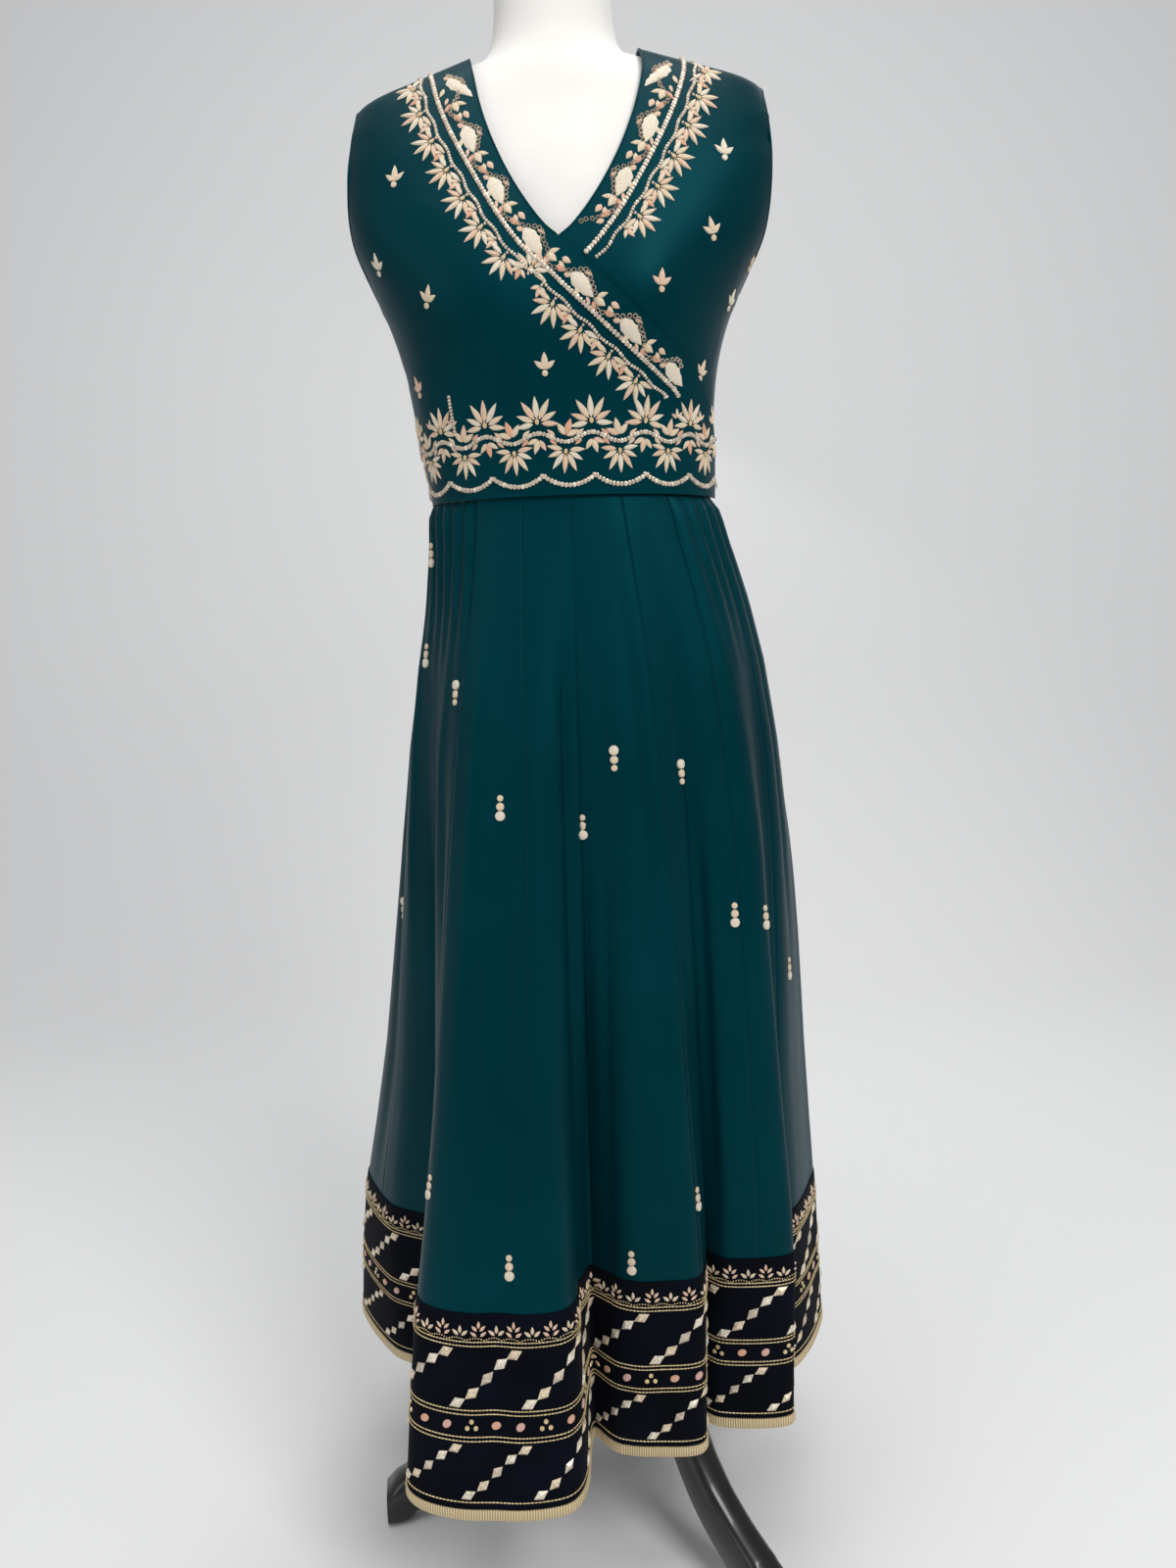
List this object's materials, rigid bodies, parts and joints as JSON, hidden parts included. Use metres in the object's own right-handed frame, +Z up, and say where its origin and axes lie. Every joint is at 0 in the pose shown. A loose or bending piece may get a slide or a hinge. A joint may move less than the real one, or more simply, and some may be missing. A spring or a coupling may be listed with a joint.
{
  "type": "embellished dress on a dress form stand",
  "caption": "Sleeveless V-neck wrap-front dress with a long gored, folded skirt, a deep velvet hem band and raised bead ropes, on a limbless dress form with a tripod stand.",
  "frame": {"origin": "centre of the bounding box in X and Y, at the floor that the feet stand on", "axes": "+Z up; the dress's front faces -Y; +X is to the wearer's left"},
  "size_m": [0.5422, 0.4998, 1.572],
  "materials": {
    "teal_crepe": "satin-backed crepe with a soft sheen",
    "dark_velvet": "matte pile",
    "cream_trim": "ribbed braid",
    "silver_beads": "small beads",
    "form_linen": "matte jersey cover",
    "dark_wood": "dark gloss"
  },
  "bodies": {
    "root": {"bodice_back_left": "teal_crepe", "bodice_back_right": "teal_crepe", "bodice_front_over": "teal_crepe", "bodice_front_under": "teal_crepe", "form_torso": "form_linen", "hem_band_1": "dark_velvet", "hem_band_2": "dark_velvet", "hem_band_3": "dark_velvet", "hem_band_4": "dark_velvet", "hem_band_5": "dark_velvet", "hem_band_6": "dark_velvet", "hem_band_7": "dark_velvet", "hem_band_8": "dark_velvet", "hem_trim": "cream_trim", "rope_over_inner": "silver_beads", "rope_over_outer": "silver_beads", "rope_scallop": "silver_beads", "rope_under_inner": "silver_beads", "rope_under_outer": "silver_beads", "rope_vine": "silver_beads", "skirt_gore_01": "teal_crepe", "skirt_gore_02": "teal_crepe", "skirt_gore_03": "teal_crepe", "skirt_gore_04": "teal_crepe", "skirt_gore_05_aft": "teal_crepe", "skirt_gore_05_fore": "teal_crepe", "skirt_gore_06_aft": "teal_crepe", "skirt_gore_06_fore": "teal_crepe", "skirt_gore_07": "teal_crepe", "skirt_gore_08": "teal_crepe", "skirt_gore_09": "teal_crepe", "skirt_gore_10": "teal_crepe", "skirt_gore_11": "teal_crepe", "skirt_gore_12": "teal_crepe", "skirt_gore_13": "teal_crepe", "skirt_gore_14": "teal_crepe", "skirt_gore_15": "teal_crepe", "skirt_gore_16": "teal_crepe", "stand_block": "dark_wood", "stand_column": "dark_wood", "stand_leg_1": "dark_wood", "stand_leg_2": "dark_wood", "stand_leg_3": "dark_wood", "stand_pole": "dark_wood"}
  },
  "joints": []
}
